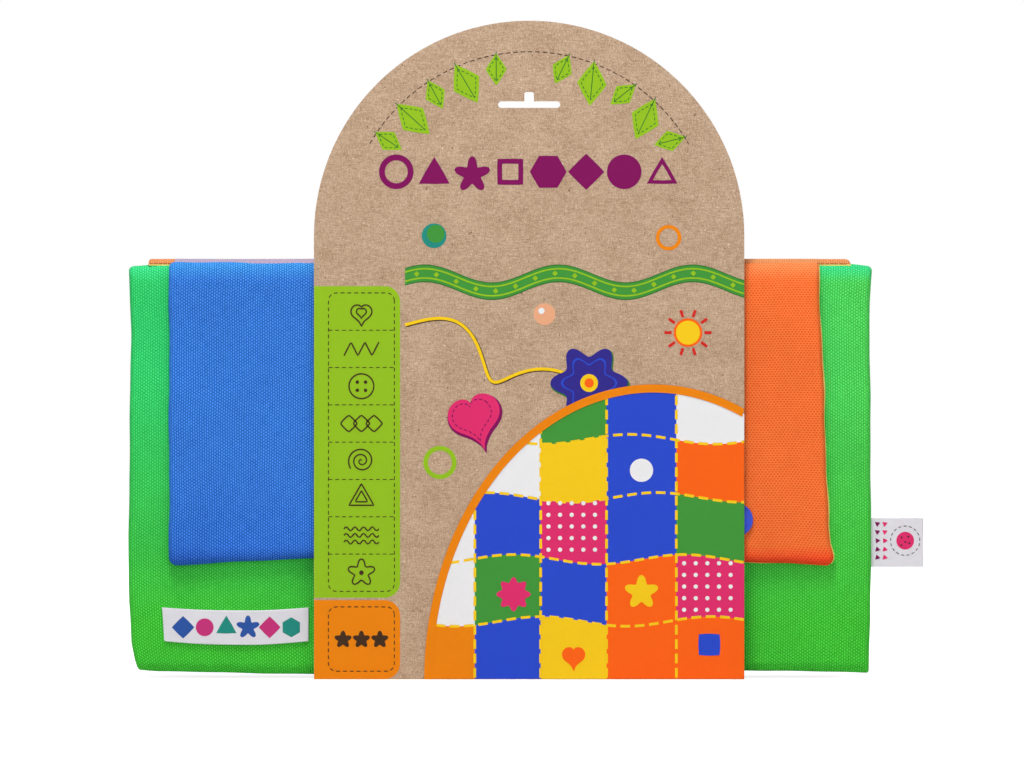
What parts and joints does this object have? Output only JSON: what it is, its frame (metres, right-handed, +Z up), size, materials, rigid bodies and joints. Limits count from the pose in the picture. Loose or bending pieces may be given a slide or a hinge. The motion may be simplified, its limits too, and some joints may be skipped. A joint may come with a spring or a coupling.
{
  "type": "fabric busy board",
  "caption": "Soft fabric busy board for toddlers, folded in three behind a kraft sleeve card, with zip, buttons, buckle, laces, beads and pouch inside.",
  "frame": {"origin": "under the middle of the folded board and its sleeve card, on the surface it stands on", "axes": "+X to the right seen from the front, along the board's longest side; +Y from the front to the back; +Z up, towards the hang slot"},
  "size_m": [0.41, 0.0622, 0.34],
  "materials": {
    "kraft_card": "matte",
    "green_cloth": "matte",
    "blue_cloth": "matte",
    "orange_cloth": "matte",
    "lining_cloth": "matte",
    "insert_board": "matte",
    "white_tape": "satin",
    "green_tape": "matte",
    "hook_and_loop": "matte",
    "yellow_webbing": "satin",
    "yellow_cord": "satin",
    "green_plastic": "satin",
    "dark_green_plastic": "satin",
    "blue_plastic": "gloss",
    "pink_plastic": "gloss",
    "red_plastic": "satin",
    "white_wood": "satin",
    "steel": "satin"
  },
  "bodies": {
    "sleeve": {"sleeve_card": "kraft_card", "sleeve_tongue": "kraft_card"},
    "cover": {"green_cover": "green_cloth", "cover_insert": "insert_board", "cover_lining": "lining_cloth", "top_fold": "orange_cloth", "blue_flap": "blue_cloth", "orange_flap": "orange_cloth", "closure_tab": "blue_cloth", "loop_patch": "hook_and_loop", "woven_label": "white_tape", "side_tag": "white_tape", "zip_tape": "green_tape", "zip_teeth": "green_plastic", "octagon_button": "blue_plastic", "square_button": "pink_plastic", "button_shanks": "white_tape"},
    "zip_slider": {"zip_slider": "green_plastic", "zip_pull": "green_plastic"},
    "orange_panel": {"orange_panel_face": "orange_cloth", "orange_panel_insert": "insert_board", "orange_panel_back": "lining_cloth", "blue_door_lining": "lining_cloth", "blue_door_inner": "blue_cloth", "blue_door_outer": "blue_cloth", "socket_webbing": "yellow_webbing", "plug_webbing": "yellow_webbing", "buckle_socket": "dark_green_plastic", "pouch": "lining_cloth", "pouch_frill": "lining_cloth", "pouch_tab": "yellow_webbing", "pouch_cord": "yellow_cord"},
    "buckle_plug": {"buckle_plug": "dark_green_plastic"},
    "blue_panel": {"blue_panel_back": "lining_cloth", "blue_panel_insert": "insert_board", "blue_panel_face": "blue_cloth", "green_door_lining": "lining_cloth", "green_door_inner": "green_cloth", "green_door_outer": "green_cloth", "lace_loops": "yellow_webbing", "lace": "yellow_cord", "lace_knots": "yellow_cord", "hook_tab": "yellow_webbing", "hook_cord": "yellow_cord", "orange_door_lining": "lining_cloth", "orange_door_outer": "orange_cloth", "orange_door_inner": "orange_cloth", "belt_webbing": "yellow_webbing", "eyelets": "steel", "bead_cord_left": "yellow_cord", "bead_cord_right": "yellow_cord", "bead_knots": "yellow_cord", "stud_ball": "steel", "loop_band": "yellow_webbing"},
    "snap_hook": {"snap_hook": "red_plastic"},
    "belt_slider": {"belt_slider": "red_plastic"},
    "bead_left": {"bead_left": "white_wood"},
    "bead_right": {"bead_right": "white_wood"},
    "peek_flap": {"peek_flap": "green_cloth", "stud_cap": "steel"}
  },
  "joints": [
    {"name": "sleeve_slide", "type": "slide", "parent": "cover", "child": "sleeve", "axis": [1, 0, 0], "range_m": [0, 0.34]},
    {"name": "orange_fold", "type": "hinge", "parent": "cover", "child": "orange_panel", "pos_m": [0, 0.008, 0.213], "axis": [1, 0, 0], "range_deg": [0, 180]},
    {"name": "blue_fold", "type": "hinge", "parent": "orange_panel", "child": "blue_panel", "pos_m": [0, 0.01075, 0.004], "axis": [-1, 0, 0], "range_deg": [0, 180]},
    {"name": "zip_travel", "type": "slide", "parent": "cover", "child": "zip_slider", "axis": [1, 0, 0], "range_m": [0, 0.115]},
    {"name": "buckle_release", "type": "slide", "parent": "orange_panel", "child": "buckle_plug", "axis": [-1, 0, 0], "range_m": [0, 0.03]},
    {"name": "belt_slide", "type": "slide", "parent": "blue_panel", "child": "belt_slider", "axis": [1, 0, 0], "range_m": [-0.03, 0.01]},
    {"name": "hook_swing", "type": "hinge", "parent": "blue_panel", "child": "snap_hook", "pos_m": [0.11625, 0.0284, 0.062], "axis": [0, 1, 0], "range_deg": [-35, 35]},
    {"name": "bead_left_lift", "type": "slide", "parent": "blue_panel", "child": "bead_left", "axis": [0, 0, 1], "range_m": [0, 0.035]},
    {"name": "bead_right_lift", "type": "slide", "parent": "blue_panel", "child": "bead_right", "axis": [0, 0, 1], "range_m": [0, 0.03]},
    {"name": "peek_hinge", "type": "hinge", "parent": "blue_panel", "child": "peek_flap", "pos_m": [-0.08, 0.0176, 0.165], "axis": [1, 0, 0], "range_deg": [0, 120]}
  ]
}
